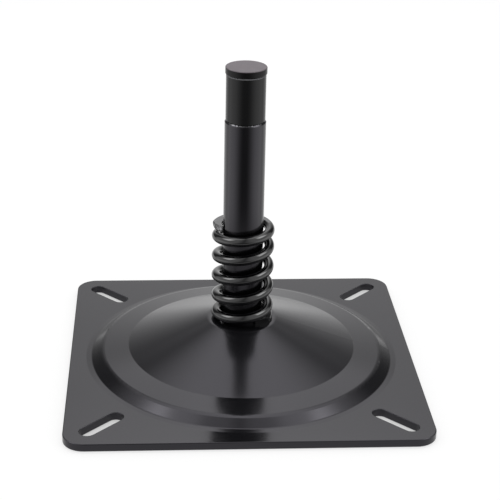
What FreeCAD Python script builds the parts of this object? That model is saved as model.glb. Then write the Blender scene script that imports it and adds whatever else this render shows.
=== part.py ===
import FreeCAD, Part
import math
import os

from FreeCAD import Vector

# Plug-in boat seat mount: a square pressed plate with a round dish, an upright pin
# welded through the middle of the dish, a cushion spring round the foot of the pin,
# and a plastic guide sleeve held on the end of the pin by a push-in cap.
# Millimetres, +Z up along the pin, origin at the centre of the plate's underside.

# Mounting plate, pressed from one steel sheet
PLATE_WIDTH = 178.0
SHEET_THICKNESS = 4.0
CORNER_RADIUS = 10.5
RIM_ROUND = 0.5

# Dish in the plate: widths of its zones from the rim inwards, and their rises
FLANGE_WIDTH = 8.2
TOE_WIDTH = 2.9
TOE_RISE = 0.35
SLOPE_WIDTH = 5.7
SLOPE_RISE = 3.75
RING_WIDTH = 13.5
RING_RISE = 1.9
CONE_RISE = 15.2
LAND_MARGIN = 1.4

# Inside radius of each bend in the sheet
TOE_BEND = 2.0
FOOT_BEND = 1.5
CREST_BEND = 1.0
CONE_BEND = 1.0
HUB_BEND = 1.0

# Slots for the seat bolts, one in each corner, pointing at the pin
SLOT_LENGTH = 26.2
SLOT_WIDTH = 7.8
SLOT_EDGE_DISTANCE = 18.3
SLOT_EDGE_BREAK = 0.3

# Pin, turned from round bar. Its foot stands on the hub, and its tail goes through the hole
PIN_DIAMETER = 20.4
PIN_HEIGHT_OVER_HUB = 107.2
PIN_CHAMFER = 0.7
TAIL_DIAMETER = 15.8
TAIL_CLEARANCE = 0.05
TAIL_STICK_OUT = 3.5

# Weld bead round the pin's tail, under the hub
WELD_LEG = 3.5
WELD_CROWN = 0.5

# Guide sleeve on the turned-down end of the pin
SLEEVE_LENGTH = 23.5
SLEEVE_SETBACK = 0.4
SLEEVE_WALL = 2.8
SLEEVE_BORE_CLEARANCE = 0.05
SLEEVE_CHAMFER = 0.4

# Cap pressed into the end of the pin, over the sleeve, as wide as the pin
CAP_THICKNESS = 3.5
CAP_EDGE_ROUND = 0.5
CAP_SEAT_GAP = 0.2
STEM_DIAMETER = 7.0
STEM_LENGTH = 12.0
STEM_CLEARANCE = 0.05
STEM_TIP_CHAMFER = 0.8
BORE_END_GAP = 1.5

# Cushion spring: right-handed, both ends closed and ground flat. The closed turns end
# in the middle of a bend that reaches the closing turns to either side
WIRE_DIAMETER = 5.0
SPRING_CLEARANCE = 0.66
SPRING_FREE_LENGTH = 51.8
SPRING_TURNS = 5.61
CLOSED_TURNS = 0.7
CLOSING_TURNS = 0.5
CLOSED_COIL_GAP = 0.15
GRIND_DEPTH = 1.5
FIRST_TIP_ANGLE = -40.0
POINTS_PER_TURN = 12

# Heights and radii that follow from the sizes above
PIN_RADIUS = PIN_DIAMETER / 2
TAIL_RADIUS = TAIL_DIAMETER / 2
WIRE_RADIUS = WIRE_DIAMETER / 2
COIL_RADIUS = PIN_RADIUS + SPRING_CLEARANCE + WIRE_RADIUS
TOE_RADIUS = PLATE_WIDTH / 2 - FLANGE_WIDTH
SEAM_RADIUS = PLATE_WIDTH / 2 - FLANGE_WIDTH / 2
FOOT_RADIUS = TOE_RADIUS - TOE_WIDTH
CREST_RADIUS = FOOT_RADIUS - SLOPE_WIDTH
CONE_RADIUS = CREST_RADIUS - RING_WIDTH
LAND_RADIUS = COIL_RADIUS + WIRE_RADIUS + LAND_MARGIN
FOOT_Z = SHEET_THICKNESS + TOE_RISE
CREST_Z = FOOT_Z + SLOPE_RISE
CONE_Z = CREST_Z + RING_RISE
HUB_Z = CONE_Z + CONE_RISE
HUB_UNDERSIDE_Z = HUB_Z - SHEET_THICKNESS
SHOULDER_Z = HUB_Z + PIN_HEIGHT_OVER_HUB
SLEEVE_TOP_Z = SHOULDER_Z + SLEEVE_LENGTH
CAP_BOTTOM_Z = SLEEVE_TOP_Z + CAP_SEAT_GAP
SLEEVE_RADIUS = PIN_RADIUS - SLEEVE_SETBACK
SLEEVE_BORE_RADIUS = SLEEVE_RADIUS - SLEEVE_WALL
SPIGOT_RADIUS = SLEEVE_BORE_RADIUS - SLEEVE_BORE_CLEARANCE
STEM_RADIUS = STEM_DIAMETER / 2
UP = Vector(0, 0, 1)
CENTRE = Vector(0, 0, 0)


def flat_wire(points):
    """Closed wire through (radius, height) points in the XZ plane."""
    corners = [Vector(r, 0, z) for r, z in points]
    return Part.makePolygon(corners + corners[:1])


def turned(wire):
    """Solid of a section in the XZ plane turned once round the pin's axis."""
    return Part.Face(wire).revolve(CENTRE, UP, 360)


def unit(a, b):
    """Unit vector from a to b."""
    return (b - a).normalize()


def bent_line(corners, bends, depth):
    """Edges of one face of the bent sheet, lying depth under its drawn top line.

    The line runs from the rim to the hub. Each corner moves down its bisector, and its
    arc is the bend's inside radius plus whatever part of the sheet lies inside it.
    """
    edges = []
    start = corners[0] - UP * depth
    for before, corner, after, bend in zip(corners, corners[1:], corners[2:], bends):
        way_in = unit(before, corner)
        way_out = unit(corner, after)
        top_in = Vector(way_in.z, 0, -way_in.x)
        top_out = Vector(way_out.z, 0, -way_out.x)
        crowned = way_in.x * way_out.z - way_in.z * way_out.x > 0
        radius = bend + (SHEET_THICKNESS - depth if crowned else depth)
        inwards = top_in * (-1 if crowned else 1)
        apex = corner - (top_in + top_out) * (depth / (1 + top_in.dot(top_out)))
        reach = radius * math.tan(way_in.getAngle(way_out) / 2)
        bend_start = apex - way_in * reach
        bend_end = apex + way_out * reach
        bend_centre = bend_start + inwards * radius
        middle = bend_centre + unit(bend_centre, apex) * radius
        edges.append(Part.makeLine(start, bend_start))
        edges.append(Part.Arc(bend_start, middle, bend_end).toShape())
        start = bend_end
    edges.append(Part.makeLine(start, corners[-1] - UP * depth))
    return edges


def dish():
    """Round middle of the plate: ring step, flat ring, cone and hub with the tail's hole."""
    profile = [
        (SEAM_RADIUS, SHEET_THICKNESS),
        (TOE_RADIUS, SHEET_THICKNESS),
        (FOOT_RADIUS, FOOT_Z),
        (CREST_RADIUS, CREST_Z),
        (CONE_RADIUS, CONE_Z),
        (LAND_RADIUS, HUB_Z),
        (TAIL_RADIUS + TAIL_CLEARANCE, HUB_Z),
    ]
    corners = [Vector(r, 0, z) for r, z in profile]
    bends = [TOE_BEND, FOOT_BEND, CREST_BEND, CONE_BEND, HUB_BEND]
    ends = [Part.makeLine(c, c - UP * SHEET_THICKNESS) for c in (corners[0], corners[-1])]
    edges = bent_line(corners, bends, 0) + bent_line(corners, bends, SHEET_THICKNESS) + ends
    return turned(Part.Wire(Part.__sortEdges__(edges)))


def rounded_square():
    """Flat square slab with rounded corners and a broken rim."""
    slab = Part.makeBox(PLATE_WIDTH, PLATE_WIDTH, SHEET_THICKNESS)
    slab.translate(Vector(-PLATE_WIDTH / 2, -PLATE_WIDTH / 2, 0))
    upright = [e for e in slab.Edges if abs(e.tangentAt(e.FirstParameter).z) > 0.5]
    slab = slab.makeFillet(CORNER_RADIUS, upright)
    rim = [e for e in slab.Edges if abs(e.tangentAt(e.FirstParameter).z) < 0.5]
    return slab.makeFillet(RIM_ROUND, rim)


def slot_outline(width, z):
    """Closed slot outline of that width along X, with round ends, at height z."""
    run = (SLOT_LENGTH - SLOT_WIDTH) / 2
    r = width / 2
    edges = [
        Part.makeLine(Vector(-run, -r, z), Vector(run, -r, z)),
        Part.Arc(Vector(run, -r, z), Vector(run + r, 0, z), Vector(run, r, z)).toShape(),
        Part.makeLine(Vector(run, r, z), Vector(-run, r, z)),
        Part.Arc(Vector(-run, r, z), Vector(-run - r, 0, z), Vector(-run, -r, z)).toShape(),
    ]
    return Part.Wire(edges)


def slot_tool(angle):
    """Cutter for one corner slot: the slot itself and its broken upper edge.

    The slot's cutter is three sheets tall, one below the sheet and one above it. The
    edge's cutter widens at 45 degrees from just under the upper face to just over it.
    """
    shaft = Part.Face(slot_outline(SLOT_WIDTH, -SHEET_THICKNESS)).extrude(UP * 3 * SHEET_THICKNESS)
    low = slot_outline(SLOT_WIDTH, SHEET_THICKNESS - SLOT_EDGE_BREAK)
    high = slot_outline(SLOT_WIDTH + 4 * SLOT_EDGE_BREAK, SHEET_THICKNESS + SLOT_EDGE_BREAK)
    tool = shaft.fuse(Part.makeLoft([low, high], True, True))
    centre_distance = (PLATE_WIDTH / 2 - SLOT_EDGE_DISTANCE) * math.sqrt(2)
    tool.translate(Vector(centre_distance, 0, 0))
    tool.rotate(CENTRE, UP, angle)
    return tool


def mounting_plate():
    """Square flange, pressed dish and four corner slots, in one piece."""
    flange = rounded_square().cut(Part.makeCylinder(SEAM_RADIUS, SHEET_THICKNESS))
    plate = flange.fuse(dish()).removeSplitter()
    for quarter in range(4):
        plate = plate.cut(slot_tool(45 + 90 * quarter))
    return plate


def seat_pin():
    """Turned pin: tail, full shaft, chamfered shoulder, and a spigot bored for the cap."""
    bottom = HUB_UNDERSIDE_Z - TAIL_STICK_OUT
    bore_bottom = CAP_BOTTOM_Z - STEM_LENGTH - BORE_END_GAP
    bore = STEM_RADIUS + STEM_CLEARANCE
    section = [
        (0, bottom),
        (TAIL_RADIUS - PIN_CHAMFER, bottom),
        (TAIL_RADIUS, bottom + PIN_CHAMFER),
        (TAIL_RADIUS, HUB_Z),
        (PIN_RADIUS, HUB_Z),
        (PIN_RADIUS, SHOULDER_Z - PIN_CHAMFER),
        (PIN_RADIUS - PIN_CHAMFER, SHOULDER_Z),
        (SPIGOT_RADIUS, SHOULDER_Z),
        (SPIGOT_RADIUS, SLEEVE_TOP_Z),
        (bore, SLEEVE_TOP_Z),
        (bore, bore_bottom),
        (0, bore_bottom),
    ]
    return turned(flat_wire(section))


def pin_weld():
    """Crowned fillet weld in the corner between the pin's tail and the hub's underside."""
    root = Vector(TAIL_RADIUS, 0, HUB_UNDERSIDE_Z)
    on_hub = root + Vector(WELD_LEG, 0, 0)
    on_tail = root - UP * WELD_LEG
    crown = (on_hub + on_tail) * 0.5 + Vector(1, 0, -1).normalize() * WELD_CROWN
    edges = [
        Part.makeLine(root, on_hub),
        Part.Arc(on_hub, crown, on_tail).toShape(),
        Part.makeLine(on_tail, root),
    ]
    return turned(Part.Wire(edges))


def guide_sleeve():
    """Plain plastic sleeve between the pin's shoulder and the cap."""
    edge = SLEEVE_RADIUS - SLEEVE_CHAMFER
    section = [
        (SLEEVE_BORE_RADIUS, SHOULDER_Z),
        (edge, SHOULDER_Z),
        (SLEEVE_RADIUS, SHOULDER_Z + SLEEVE_CHAMFER),
        (SLEEVE_RADIUS, SLEEVE_TOP_Z - SLEEVE_CHAMFER),
        (edge, SLEEVE_TOP_Z),
        (SLEEVE_BORE_RADIUS, SLEEVE_TOP_Z),
    ]
    return turned(flat_wire(section))


def end_cap():
    """Round cap, flush with the pin, on a stem that is pressed into the spigot."""
    top = CAP_BOTTOM_Z + CAP_THICKNESS
    tip = CAP_BOTTOM_Z - STEM_LENGTH
    head = Part.makeCylinder(PIN_RADIUS, CAP_THICKNESS, Vector(0, 0, CAP_BOTTOM_Z))
    rims = [e for e in head.Edges if isinstance(e.Curve, Part.Circle)]
    head = head.makeFillet(CAP_EDGE_ROUND, rims)
    stem = [
        (0, tip),
        (STEM_RADIUS - STEM_TIP_CHAMFER, tip),
        (STEM_RADIUS, tip + STEM_TIP_CHAMFER),
        (STEM_RADIUS, top - CAP_THICKNESS / 2),
        (0, top - CAP_THICKNESS / 2),
    ]
    return head.fuse(turned(flat_wire(stem))).removeSplitter()


def open_share(turn):
    """Share of the open turns that lies below a place on the wire, turn turns from the tip.

    It rises straight from 0 to 1 over the open turns, and a parabola rounds both its ends.
    """
    def knee(past):
        """0 well before the bend, the turns past it well after it, and a parabola between."""
        if past <= -CLOSING_TURNS:
            return 0.0
        if past >= CLOSING_TURNS:
            return past
        return (past + CLOSING_TURNS) ** 2 / (4 * CLOSING_TURNS)
    last = SPRING_TURNS - CLOSED_TURNS
    return (knee(turn - CLOSED_TURNS) - knee(turn - last)) / (last - CLOSED_TURNS)


def coil_height(turn):
    """Height of the wire's centre over the spring's ground base, turn turns from the tip.

    The end turns climb gently, at the slope that lays each tip a hair off the next coil,
    and the open turns share the rest of the length.
    """
    tip = WIRE_RADIUS - GRIND_DEPTH
    rise = SPRING_FREE_LENGTH - 2 * tip
    share = open_share(1.0)
    end_slope = (WIRE_DIAMETER + CLOSED_COIL_GAP - rise * share) / (1 - SPRING_TURNS * share)
    return tip + end_slope * turn + (rise - end_slope * SPRING_TURNS) * open_share(turn)


def coil_spring():
    """Round wire swept up the coil, then ground flat at both ends."""
    count = round(SPRING_TURNS * POINTS_PER_TURN)
    points = []
    for i in range(count + 1):
        turn = SPRING_TURNS * i / count
        angle = math.radians(FIRST_TIP_ANGLE) + 2 * math.pi * turn
        x = COIL_RADIUS * math.cos(angle)
        y = COIL_RADIUS * math.sin(angle)
        points.append(Vector(x, y, HUB_Z + coil_height(turn)))
    line = Part.BSplineCurve()
    line.interpolate(points)
    path = Part.Wire([line.toShape()])
    section = Part.Wire([Part.makeCircle(WIRE_RADIUS, points[0], line.tangent(line.FirstParameter)[0])])
    sweep = Part.BRepOffsetAPI.MakePipeShell(path)
    sweep.setFrenetMode(False)
    sweep.add(section)
    sweep.build()
    sweep.makeSolid()
    reach = COIL_RADIUS + WIRE_DIAMETER
    between = Part.makeCylinder(reach, SPRING_FREE_LENGTH, Vector(0, 0, HUB_Z))
    return sweep.shape().common(between)


PIECES = {
    "mounting_plate": mounting_plate,
    "seat_pin": seat_pin,
    "pin_weld": pin_weld,
    "guide_sleeve": guide_sleeve,
    "end_cap": end_cap,
    "coil_spring": coil_spring,
}

os.makedirs("parts", exist_ok=True)
for name, make in PIECES.items():
    shape = make()
    if len(shape.Solids) != 1:
        raise RuntimeError(f"{name} came out as {len(shape.Solids)} solids")
    shape.Solids[0].exportStep(f"parts/{name}.step")
    print(name, "valid" if shape.isValid() else "not valid", round(shape.Volume, 1), "mm3")
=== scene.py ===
"""Looks of a plug-in boat seat mount: pressed plate, pin, weld, cushion spring, plastic sleeve and cap."""

import math

import bpy
import numpy as np
from mathutils import Matrix, Vector


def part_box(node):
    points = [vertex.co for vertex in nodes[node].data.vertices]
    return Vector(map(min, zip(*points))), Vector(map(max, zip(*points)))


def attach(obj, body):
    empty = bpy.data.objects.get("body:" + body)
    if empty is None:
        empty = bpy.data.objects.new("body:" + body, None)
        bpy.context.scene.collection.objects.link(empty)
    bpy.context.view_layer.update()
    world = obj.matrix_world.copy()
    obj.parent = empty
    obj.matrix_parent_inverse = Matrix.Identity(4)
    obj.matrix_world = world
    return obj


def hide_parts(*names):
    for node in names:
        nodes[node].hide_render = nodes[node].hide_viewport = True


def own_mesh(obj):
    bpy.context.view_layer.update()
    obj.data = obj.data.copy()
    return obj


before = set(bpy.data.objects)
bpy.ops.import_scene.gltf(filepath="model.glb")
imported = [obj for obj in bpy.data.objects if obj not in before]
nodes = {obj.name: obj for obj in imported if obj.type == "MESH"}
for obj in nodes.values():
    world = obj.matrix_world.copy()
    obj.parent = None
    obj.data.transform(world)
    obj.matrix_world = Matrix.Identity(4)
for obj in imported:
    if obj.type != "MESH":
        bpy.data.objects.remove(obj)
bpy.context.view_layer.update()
MM = 0.001


# The mounting plate. A square of 4 mm steel sheet with a dish drawn into its middle, its slots and corners
# punched, then coated all over in satin black powder, a fine skin over the grain of the rolled sheet.
class Number:
    """A number on a socket. Sums written on it add Math nodes to its tree."""

    def __init__(self, finish, socket):
        self.finish = finish
        self.socket = socket

    def maths(self, operation, first, second=0.0):
        return self.finish.number("Math", {"operation": operation}, {0: first, 1: second})

    def __add__(self, other):
        return self.maths("ADD", self, other)

    def __radd__(self, other):
        return self.maths("ADD", other, self)

    def __sub__(self, other):
        return self.maths("SUBTRACT", self, other)

    def __rsub__(self, other):
        return self.maths("SUBTRACT", other, self)

    def __mul__(self, other):
        return self.maths("MULTIPLY", self, other)

    def __rmul__(self, other):
        return self.maths("MULTIPLY", other, self)

    def __abs__(self):
        return self.maths("ABSOLUTE", self)

    def atan2(self, other):
        return self.maths("ARCTAN2", self, other)

    def power(self, exponent):
        return self.maths("POWER", self, exponent)

    def most(self, other):
        return self.maths("MAXIMUM", self, other)

    def rise(self, low, high, start=0.0, end=1.0):
        """A smooth step: start below low, end above high."""
        return self.finish.number(
            "MapRange",
            {"interpolation_type": "SMOOTHSTEP"},
            {"Value": self, "From Min": low, "From Max": high, "To Min": start, "To Max": end},
        )


class Finish:
    """One node tree. add() makes any node: settings first, then the values or links of its sockets."""

    def __init__(self, tree):
        self.tree = tree
        tree.nodes.clear()

    def add(self, kind, settings=None, sockets=None):
        node = self.tree.nodes.new("ShaderNode" + kind)
        for name, setting in (settings or {}).items():
            setattr(node, name, setting)
        for name, value in (sockets or {}).items():
            if isinstance(value, Number):
                value = value.socket
            if isinstance(value, bpy.types.NodeSocket):
                self.tree.links.new(value, node.inputs[name])
            else:
                node.inputs[name].default_value = value
        return node

    def number(self, kind, settings=None, sockets=None, output=0):
        return Number(self, self.add(kind, settings, sockets).outputs[output])

    def place(self):
        """The point's own place on the object, as a vector and as three numbers, in metres."""
        spot = self.add("TexCoord").outputs["Object"]
        parts = self.add("SeparateXYZ", None, {"Vector": spot}).outputs
        return spot, Number(self, parts["X"]), Number(self, parts["Y"]), Number(self, parts["Z"])

    def vector(self, x, y, z):
        return self.add("CombineXYZ", None, {"X": x, "Y": y, "Z": z}).outputs["Vector"]

    def noise(self, vector, scale, detail=2.0, roughness=0.5):
        """Noise from 0 to 1 with features about 1 / scale metres across."""
        return self.number(
            "TexNoise", None, {"Vector": vector, "Scale": scale, "Detail": detail, "Roughness": roughness}
        )

    def blend(self, share, first, second):
        """The first colour where share is 0, the second where it is 1."""
        node = self.add(
            "Mix", {"data_type": "RGBA"}, {"Factor": share, "A": (*first, 1.0), "B": (*second, 1.0)}
        )
        return node.outputs["Result"]

    def bump(self, height, depth):
        """A normal bent by a height of 0 to 1 that stands for depth metres."""
        node = self.add("Bump", None, {"Height": height, "Distance": depth, "Strength": 1.0})
        return node.outputs["Normal"]

    def skin(self, colour, roughness, normal, others=None):
        """The surface itself, with the other sockets of its shader by their own names."""
        sockets = {"Base Color": colour, "Roughness": roughness, "Normal": normal}
        shader = self.add("BsdfPrincipled", None, sockets | (others or {}))
        self.add("OutputMaterial", None, {"Surface": shader.outputs[0]})


def new_finish(name):
    material = bpy.data.materials.new(name)
    material.use_nodes = True
    return material, Finish(material.node_tree)


COAT_TINT = (0.93, 0.90, 1.0, 1.0)
SHEET_TOP = 4.0 * MM
DISH_RADIUS = 78.0 * MM
SLOT_CIRCLE_RADIUS = 100.0 * MM
SLOT_SPINE_HALF = 9.2 * MM
SLOT_EDGE = 4.2 * MM


def slot_cut(x, y):
    """1 on the walls and broken edges of the four slots: the spine of a slot is a line on the diagonal, and
    the distance to its nearest point is compared with the slot's half width."""
    along = (abs(x) + abs(y)) * math.sqrt(0.5) - SLOT_CIRCLE_RADIUS
    across = (abs(x) - abs(y)) * math.sqrt(0.5)
    past_end = (abs(along) - SLOT_SPINE_HALF).most(0.0)
    off_spine = (past_end * past_end + across * across).power(0.5)
    return off_spine.rise(SLOT_EDGE + 0.15 * MM, SLOT_EDGE + 0.02 * MM)


def coat_plate():
    """Orange peel of about 1.4 mm, fine powder grain, rolling streaks along X and drawing rings on the dish.
    The coat is thin and dull on the punched walls of the slots."""
    material, finish = new_finish("satin_black_powder")
    spot, x, y, z = finish.place()
    radius = (x * x + y * y).power(0.5)
    peel = finish.noise(spot, 700.0, 1.0)
    grain = finish.noise(spot, 3200.0, 2.0, 0.6)
    streaks = finish.noise(finish.vector(x * 40.0, y * 1500.0, z * 1500.0), 1.0, 2.0, 0.6)
    rings = finish.noise(finish.vector(radius * 1800.0, z * 1800.0, 0.0), 1.0, 2.0, 0.6)
    inside = radius.rise(DISH_RADIUS + 1.5 * MM, DISH_RADIUS - 1.5 * MM)
    drawn = inside * z.rise(SHEET_TOP + 0.2 * MM, SHEET_TOP + 1.0 * MM)
    cloud = finish.noise(spot, 28.0, 3.0, 0.55)
    height = 0.5 * peel + 0.16 * grain + 0.35 * streaks * (1.0 - drawn) + 0.2 * rings * drawn
    colour = finish.blend(cloud * 0.7 + grain * 0.3, (0.0050, 0.0050, 0.0058), (0.0075, 0.0075, 0.0088))
    roughness = 0.12 + 0.04 * cloud + 0.03 * grain + 0.36 * slot_cut(x, y)
    finish.skin(colour, roughness, finish.bump(height, 6.5e-6), {"Specular Tint": COAT_TINT})
    return material


nodes["mounting_plate"].material_slots[0].material = coat_plate()


# The pin. A turned steel bar that stands on the hub of the plate, its foot welded underneath. It is coated
# in the same satin black over fine turning lines, and its shoulder is broken by a small chamfer.
def coat_pin():
    """Turning lines about 0.2 mm apart round the bar, a little peel in the coat and slow cloudiness. Patches
    on the shoulder's chamfer are painted as pale bare metal, a painted highlight that stands for the side
    lights' reflection."""
    material, finish = new_finish("satin_black_on_turned_bar")
    spot, x, y, z = finish.place()
    lines = finish.noise(finish.vector(x * 30.0, y * 30.0, z * 5200.0), 1.0, 2.0, 0.6)
    peel = finish.noise(spot, 620.0, 1.0)
    cloud = finish.noise(finish.vector(x * 60.0, y * 60.0, z * 25.0), 1.0, 3.0, 0.5)
    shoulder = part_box("guide_sleeve")[0][2]
    # painted highlight: pale metallic patches on the shoulder's chamfer stand for the reflection of the side
    # lights there
    highlight_patches = finish.noise(spot, 900.0, 1.0).rise(0.42, 0.52)
    painted_chamfer_highlight = z.rise(shoulder - 0.55 * MM, shoulder - 0.35 * MM) * highlight_patches
    tone = cloud * (1.0 - painted_chamfer_highlight) * 0.02 + painted_chamfer_highlight
    colour = finish.blend(tone, (0.0008, 0.0008, 0.0010), (0.12, 0.12, 0.125))
    roughness = 0.14 + 0.05 * cloud
    normal = finish.bump(0.25 * lines + 0.4 * peel, 3e-6)
    others = {"Metallic": painted_chamfer_highlight, "Specular IOR Level": 0.41, "Specular Tint": COAT_TINT}
    finish.skin(colour, roughness, normal, others)
    return material


nodes["seat_pin"].material_slots[0].material = coat_pin()


# The weld under the hub. A single pass bead runs round the pin's tail; its ripples lie crosswise to the run,
# and it is coated together with the plate, thicker in the ripples than on their crests.
def coat_weld():
    """Ripples are arcs of about 1.6 mm pitch round the axis, bent by noise, under the plate's coat."""
    material, finish = new_finish("satin_black_on_weld")
    spot, x, y, z = finish.place()
    turn = y.atan2(x)
    wander = finish.noise(spot, 260.0, 2.0)
    phase = turn * 36.0 + wander * 5.0 + z * 900.0
    ripple = finish.number("Math", {"operation": "SINE"}, {0: phase}) * 0.5 + 0.5
    spatter = finish.noise(spot, 1800.0, 2.0, 0.7)
    colour = finish.blend(ripple * 0.8 + spatter * 0.2, (0.0085, 0.0085, 0.0095), (0.0150, 0.0150, 0.0160))
    roughness = 0.27 + 0.08 * spatter
    finish.skin(colour, roughness, finish.bump(0.8 * ripple + 0.2 * spatter, 1.4e-4))
    return material


nodes["pin_weld"].material_slots[0].material = coat_weld()


# The cushion spring. A right-handed coil of 5 mm wire, its two ends closed up and ground flat, dipped in
# gloss black. Its foot stands on the hub, and the edge of the pedestal's mouth bears on its top.
WIRE_RADIUS = 2.5 * MM
COIL_RADIUS = 13.36 * MM
SPRING_FOOT = 25.2 * MM
SPRING_LENGTH = 51.8 * MM
SPRING_TURNS = 5.61
CLOSED_TURNS = 0.7
CLOSING_TURNS = 0.5
TIP_GAP = 0.15 * MM
GRIND_DEPTH = 1.5 * MM
FIRST_TIP_ANGLE = math.radians(-40.0)
LEAST_CUT = math.radians(9.0)
RINGS_A_TURN = 72
SIDE_POINTS = 20
CUT_POINTS = 8
SLOPE_SAMPLES = 4000
BURR = 0.22 * MM
TIP_LEAN = math.radians(15.0)
TIP_REACH = 8.0 * MM


def open_share(turn):
    """Share of the open turns below a place on the wire: a ramp from 0 to 1 whose two knees are parabolas."""
    last = SPRING_TURNS - CLOSED_TURNS

    def knee(past):
        bent = (past + CLOSING_TURNS) ** 2 / (4 * CLOSING_TURNS)
        return np.where(past < -CLOSING_TURNS, 0.0, np.where(past > CLOSING_TURNS, past, bent))

    return (knee(turn - CLOSED_TURNS) - knee(turn - last)) / (last - CLOSED_TURNS)


def wire_height(turn):
    """Height of the wire's middle over the hub. The ends climb at the slope that leaves the tip's gap over
    one turn, and the open turns share the rest of the length."""
    tip = WIRE_RADIUS - GRIND_DEPTH
    rise = SPRING_LENGTH - 2 * tip
    share = open_share(1.0)
    slope = (2 * WIRE_RADIUS + TIP_GAP - rise * share) / (1 - SPRING_TURNS * share)
    return tip + slope * turn + (rise - slope * SPRING_TURNS) * open_share(turn)


def ring_angles(top_cut, foot_cut):
    """Angles round the wire, ring by ring: right side, cut at the top, left side, cut at the foot. Each cut's
    two edges fall on a point of their own, so a ground face has a crisp edge."""
    side = np.linspace(0.0, 1.0, SIDE_POINTS, endpoint=False)
    chord = np.linspace(0.0, 1.0, CUT_POINTS, endpoint=False)
    quarter = math.pi / 2
    right = -quarter + foot_cut[:, None] + (math.pi - foot_cut - top_cut)[:, None] * side
    top = quarter - top_cut[:, None] + 2 * top_cut[:, None] * chord
    left = quarter + top_cut[:, None] + (math.pi - foot_cut - top_cut)[:, None] * side
    foot = 3 * quarter - foot_cut[:, None] + 2 * foot_cut[:, None] * chord
    return np.concatenate([right, top, left, foot], axis=1)


def coil_spring():
    """A circle of the wire's radius is carried along the helix in upright planes through the axis, stretched
    upwards by 1 / cos of the slope, and cut off level at the hub and at the spring's top. The shears cut
    aslant: near a tip the circle turns out of its plane by the lean times e to the minus distance / reach."""
    turn = np.linspace(0.0, SPRING_TURNS, int(SPRING_TURNS * RINGS_A_TURN) + 1)
    step = turn[1] * 2 * math.pi * COIL_RADIUS
    turn = np.concatenate([turn[:1], turn, turn[-1:]])
    shrink = np.ones(len(turn))
    shrink[[0, -1]] = 1 - BURR / WIRE_RADIUS
    turn[1] = BURR / step * turn[2]
    turn[-2] = turn[-1] - turn[1]
    middle = wire_height(turn)
    samples = np.linspace(0.0, SPRING_TURNS, SLOPE_SAMPLES)
    climb = np.gradient(wire_height(samples), samples[1])
    slope = np.interp(turn, samples, climb) / (2 * math.pi * COIL_RADIUS)
    tall = WIRE_RADIUS * np.sqrt(1 + slope**2) * shrink
    top_cut = np.maximum(np.arccos(np.clip((SPRING_LENGTH - middle) / tall, -1, 1)), LEAST_CUT)
    foot_cut = np.maximum(np.arccos(np.clip(middle / tall, -1, 1)), LEAST_CUT)
    around = ring_angles(top_cut, foot_cut)
    level = np.clip(middle[:, None] + tall[:, None] * np.sin(around), 0.0, SPRING_LENGTH)
    reach = COIL_RADIUS + (WIRE_RADIUS * shrink)[:, None] * np.cos(around)
    from_tip = np.minimum(turn, SPRING_TURNS - turn) * 2 * math.pi * COIL_RADIUS
    lean = np.sign(turn - SPRING_TURNS / 2) * TIP_LEAN * np.exp(-from_tip / TIP_REACH)
    heading = (FIRST_TIP_ANGLE + 2 * math.pi * turn)[:, None] - lean[:, None] * np.cos(around)
    points = np.stack([reach * np.cos(heading), reach * np.sin(heading), SPRING_FOOT + level], axis=2)
    # points on the ground face at the top, which the finish paints lighter grey as a painted sheen
    ground_face_sheen = level >= SPRING_LENGTH
    rings, size = around.shape
    here = np.arange(rings - 1)[:, None] * size + np.arange(size)
    side = np.arange(rings - 1)[:, None] * size + (np.arange(size) + 1) % size
    quads = np.stack([here, here + size, side + size, side], axis=2).reshape(-1, 4)
    ends = [np.arange(size).tolist(), ((rings - 1) * size + np.arange(size))[::-1].tolist()]
    mesh = bpy.data.meshes.new("coil_spring_wire")
    mesh.from_pydata(points.reshape(-1, 3), [], quads.tolist() + ends)
    mesh.shade_smooth()
    for name, values in {"ground_face_sheen": ground_face_sheen, "from_tip": np.repeat(from_tip, size)}.items():
        attribute = mesh.attributes.new(name, "FLOAT", "POINT")
        attribute.data.foreach_set("value", values.astype(np.float32).ravel())
    mesh.set_sharp_from_angle(angle=math.radians(35))
    piece = bpy.data.objects.new("cushion_spring", mesh)
    bpy.context.scene.collection.objects.link(piece)
    return piece


def coat_spring():
    """Gloss dip coat with long soft waves. The ground face at the top is painted lighter grey, a painted
    sheen for the light a level face catches, and is a little rougher; the coat is chipped to bright wire at
    the very tip there."""
    material, finish = new_finish("gloss_black_on_wire")
    spot, x, y, z = finish.place()
    ground_face_sheen = finish.number("Attribute", {"attribute_name": "ground_face_sheen"}, output=2)
    from_tip = finish.number("Attribute", {"attribute_name": "from_tip"}, output=2)
    waves = finish.noise(spot, 330.0, 1.0)
    fine = finish.noise(spot, 2600.0, 2.0, 0.6)
    patches = finish.noise(spot, 900.0, 1.0)
    upper = z.rise(SPRING_FOOT + 0.6 * SPRING_LENGTH, SPRING_FOOT + 0.7 * SPRING_LENGTH)
    chips = (from_tip * 1800.0 + patches * 1.3).rise(0.74, 0.52) * upper
    # painted sheen: the level ground face at the top is coloured lighter grey for the light it catches; the
    # chips near the tip are wear
    chips_and_sheen = chips.most(ground_face_sheen * (0.34 + 0.20 * fine))
    colour = finish.blend(chips_and_sheen, (0.0025, 0.0025, 0.0030), (0.24, 0.24, 0.25))
    roughness = 0.06 + 0.02 * waves + 0.20 * ground_face_sheen + 0.15 * chips
    height = 0.6 * waves + 0.08 * fine + 0.25 * fine * ground_face_sheen
    normal = finish.bump(height, 8e-6)
    finish.skin(colour, roughness, normal, {"Metallic": chips, "Specular IOR Level": 0.72})
    return material


spring = coil_spring()
spring.data.materials.append(coat_spring())
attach(spring, "spring")
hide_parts("coil_spring")
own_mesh(spring)


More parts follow.
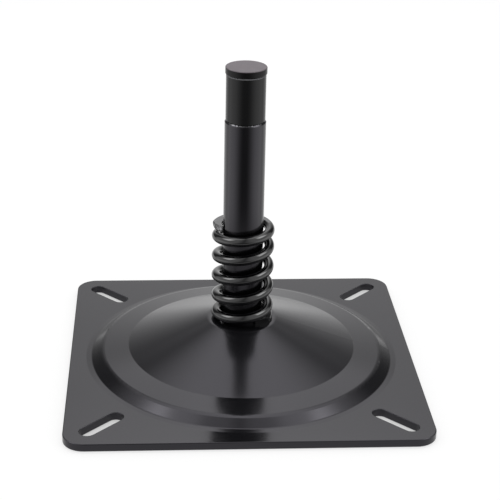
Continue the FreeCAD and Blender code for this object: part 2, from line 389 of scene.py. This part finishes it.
# The guide sleeve. A black plastic tube pressed over the pin's turned-down end, a little thinner than the
# pin, so that the mount slides into its pedestal without scraping the coat.
def mould_sleeve():
    """Smooth moulded plastic with long flow lines up the tube and hair scratches from handling. The chamfer
    under the cap is painted pale, a painted highlight for the light its edge catches."""
    material, finish = new_finish("black_moulded_plastic")
    spot, x, y, z = finish.place()
    flow = finish.noise(finish.vector(x * 900.0, y * 900.0, z * 50.0), 1.0, 2.0, 0.5)
    skin = finish.noise(spot, 1500.0, 2.0, 0.5)
    scuff = finish.noise(finish.vector(x * 300.0, y * 300.0, z * 6000.0), 1.0, 1.0).rise(0.66, 0.74)
    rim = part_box("guide_sleeve")[1][2]
    # painted highlight: the chamfer at the sleeve's top is coloured pale for the light its edge catches
    painted_rim_highlight = z.rise(rim - 0.50 * MM, rim - 0.38 * MM)
    tone = 0.01 * flow * (1.0 - painted_rim_highlight) + painted_rim_highlight
    colour = finish.blend(tone, (0.0045, 0.0045, 0.0048), (0.20, 0.20, 0.21))
    roughness = 0.15 + 0.04 * skin + 0.06 * scuff
    normal = finish.bump(0.3 * flow + 0.2 * skin + 0.1 * scuff, 3e-6)
    finish.skin(colour, roughness, normal, {"Specular IOR Level": 0.20})
    return material


nodes["guide_sleeve"].material_slots[0].material = mould_sleeve()


# The end cap. A round push-in cap of matt dark grey plastic closes the bored end of the pin; its stem grips
# the bore, and its rounded rim stands a little wider than the sleeve.
def mould_cap():
    """Spark-eroded mould texture of about 0.3 mm over a slow unevenness. The top is painted a little lighter,
    a painted light for the light that falls on it from above, and is rougher.
    """
    material, finish = new_finish("matt_grey_cap_plastic")
    spot, x, y, z = finish.place()
    pits = finish.noise(spot, 3000.0, 3.0, 0.65)
    slow = finish.noise(spot, 220.0, 2.0)
    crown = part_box("end_cap")[1][2]
    # painted light: the top face is coloured lighter for the light that falls on it from above, though the
    # plastic is the same
    top = z.rise(crown - 0.5 * MM, crown - 0.1 * MM)
    tone = top * (0.8 + 0.2 * slow)
    colour = finish.blend(tone, (0.0040, 0.0036, 0.0040), (0.190, 0.168, 0.184))
    roughness = 0.24 + 0.18 * top + 0.06 * pits
    normal = finish.bump(0.7 * pits + 0.3 * slow, 8e-6)
    finish.skin(colour, roughness, normal, {"Specular IOR Level": 0.13})
    return material


nodes["end_cap"].material_slots[0].material = mould_cap()


# The studio. A white floor that runs out of sight, bright side walls with a softbox on each, a bright back
# wall with darker corners, a broad soft light overhead, and a dark gap at the front where the room is open.
# A band holds the angles, in radians, where its light starts, is full, starts to fade and ends.
GAP = math.radians(-4.0)
SIDE_WALLS = (-0.27, 0.68, 1.92, 2.22)
SOFTBOX_SIDES = (0.89, 1.24, 1.66, 2.01)
SOFTBOX_HEIGHTS = (0.50, 0.70, 0.98, 1.20)
FLOOR_SIDES = (0.15, 1.20, 1.59, 2.30)
WALL_LIGHT = 0.90
SOFTBOX_LIGHT = 5.0
OVERHEAD_LIGHT = 1.88
ROOM_LIGHT = 0.104
PLAIN_LIGHT = 0.75
FLOOR_LIGHT = 0.66
FLOOR_SIDE_LIGHT = 1.49
FLOOR_BACK_LIGHT = 0.81
FLOOR_FRONT_LIGHT = 0.163
FLOOR_NEAR_LIGHT = 0.78
FLOOR_REACH = 12.0
FLOOR_HEIGHT = -0.3 * MM
PLATE_HALF = 89.0 * MM


def from_gap(x, y):
    """Angle of a direction from the middle of the front gap, 0 to pi, the same to both sides."""
    ahead = x * math.sin(GAP) - y * math.cos(GAP)
    aside = x * math.cos(GAP) + y * math.sin(GAP)
    return abs(aside.atan2(ahead))


def band(value, start, full, fade, end):
    """1 between full and fade, 0 before start and after end, with smooth steps between."""
    return value.rise(start, full) * value.rise(end, fade)


def light_world():
    """Seen straight on it is white; in reflections it is the walls, the corners and the overhead light."""
    world = bpy.data.worlds.new("studio_surround")
    bpy.context.scene.world = world
    world.use_nodes = True
    finish = Finish(world.node_tree)
    direction = finish.add("TexCoord").outputs["Generated"]
    parts = finish.add("SeparateXYZ", None, {"Vector": direction}).outputs
    x, y, z = (Number(finish, parts[name]) for name in "XYZ")
    angle = from_gap(x, y)
    height = z.maths("ARCSINE", z)
    side_walls = band(angle, *SIDE_WALLS) * WALL_LIGHT
    softboxes = band(angle, *SOFTBOX_SIDES) * band(height, *SOFTBOX_HEIGHTS) * SOFTBOX_LIGHT
    overhead = height.rise(0.58, 1.15) * angle.rise(1.20, 1.30, 0.07, 1.0) * OVERHEAD_LIGHT
    back_wall = angle.rise(2.43, 3.14) * height.rise(0.50, 0.615, 0.94, 1.80)
    seen = side_walls.most(softboxes).most(overhead).most(back_wall) + ROOM_LIGHT
    path = finish.add("LightPath").outputs
    camera_ray = Number(finish, path["Is Camera Ray"])
    glossy_ray = Number(finish, path["Is Glossy Ray"])
    strength = camera_ray + glossy_ray * seen + (1.0 - camera_ray) * (1.0 - glossy_ray) * PLAIN_LIGHT
    background = finish.add("Background", None, {"Color": (1, 1, 1, 1), "Strength": strength})
    finish.add("OutputWorld", None, {"Surface": background.outputs[0]})


def lay_floor():
    """A flat sheet far wider than the view. Most of its white is its own, so the shadow on it is faint; its
    own white is painted dimmer under the plate, a painted shadow where only the slots let light in."""
    mesh = bpy.data.meshes.new("floor_sheet")
    reach = FLOOR_REACH
    corners = [(-reach, -reach), (reach, -reach), (reach, reach), (-reach, reach)]
    mesh.from_pydata([(x, y, FLOOR_HEIGHT) for x, y in corners], [], [(0, 1, 2, 3)])
    floor = bpy.data.objects.new("studio_floor", mesh)
    bpy.context.scene.collection.objects.link(floor)
    material, finish = new_finish("white_floor")
    spot, x, y, z = finish.place()
    angle = from_gap(x, y)
    radius = (x * x + y * y).power(0.5)
    far = radius.rise(0.14, 0.224)
    sides = band(angle, *FLOOR_SIDES) * FLOOR_SIDE_LIGHT
    back = angle.rise(1.60, 2.00, 0.0, FLOOR_BACK_LIGHT)
    reflected = (sides.most(back) + FLOOR_FRONT_LIGHT) * far + FLOOR_NEAR_LIGHT * (1.0 - far)
    path = finish.add("LightPath").outputs
    glossy_ray = Number(finish, path["Is Glossy Ray"])
    # painted shadow: the floor's own glow is lowered under the plate, where only the slots let light in
    inside = abs(x).most(abs(y)).rise(PLATE_HALF - 0.5 * MM, PLATE_HALF - 2.0 * MM)
    under = inside * radius.rise(120.0 * MM, 117.0 * MM)
    own = FLOOR_LIGHT - 0.26 * under
    glow = finish.add("Emission", None, {"Strength": own + glossy_ray * (reflected - own)})
    matt = finish.add("BsdfDiffuse", None, {"Color": (0.40, 0.40, 0.40, 1)})
    nothing = finish.add("Emission", None, {"Strength": 0.0})
    lit = finish.add("MixShader", None, {0: glossy_ray, 1: matt.outputs[0], 2: nothing.outputs[0]})
    both = finish.add("AddShader", None, {0: glow.outputs[0], 1: lit.outputs[0]})
    finish.add("OutputMaterial", None, {"Surface": both.outputs[0]})
    mesh.materials.append(material)


def hang_lamp(name, place, size, power):
    """A square soft lamp that faces the mount."""
    lamp = bpy.data.lights.new(name, "AREA")
    lamp.shape = "SQUARE"
    lamp.size = size
    lamp.energy = power
    holder = bpy.data.objects.new(name, lamp)
    bpy.context.scene.collection.objects.link(holder)
    holder.location = place
    holder.rotation_euler = (Vector((0, 0, 0.06)) - Vector(place)).to_track_quat("-Z", "Y").to_euler()
    holder.visible_glossy = False


light_world()
lay_floor()
hang_lamp("overhead_lamp", (0.0, 0.15, 1.3), 0.9, 3.0)


# The camera. It stands a little left of the mount's front and looks down at it with a long lens, rolled by
# less than a degree.
AIM = Vector((-9.221, 0.0, 70.994)) * MM
DISTANCE = 717.90 * MM
AZIMUTH = math.radians(-3.006)
ELEVATION = math.radians(23.583)
ROLL = math.radians(0.785)
away = Vector(
    (
        math.sin(AZIMUTH) * math.cos(ELEVATION),
        -math.cos(AZIMUTH) * math.cos(ELEVATION),
        math.sin(ELEVATION),
    )
)
right = Vector((0, 0, 1)).cross(away).normalized()
upright = away.cross(right)
rolled = Matrix.Rotation(ROLL, 3, away)
right, upright = rolled @ right, rolled @ upright
facing = Matrix((right, upright, away)).transposed().to_4x4()
camera = bpy.data.cameras.new("photo_camera")
camera.lens = 102.167
camera.sensor_width = 36.0
camera.shift_x = 0.05
camera.shift_y = -0.03
camera.clip_end = 50.0
viewer = bpy.data.objects.new("photo_camera", camera)
bpy.context.scene.collection.objects.link(viewer)
viewer.matrix_world = Matrix.Translation(AIM + away * DISTANCE) @ facing
bpy.context.scene.camera = viewer
bpy.context.scene.view_settings.view_transform = "Standard"
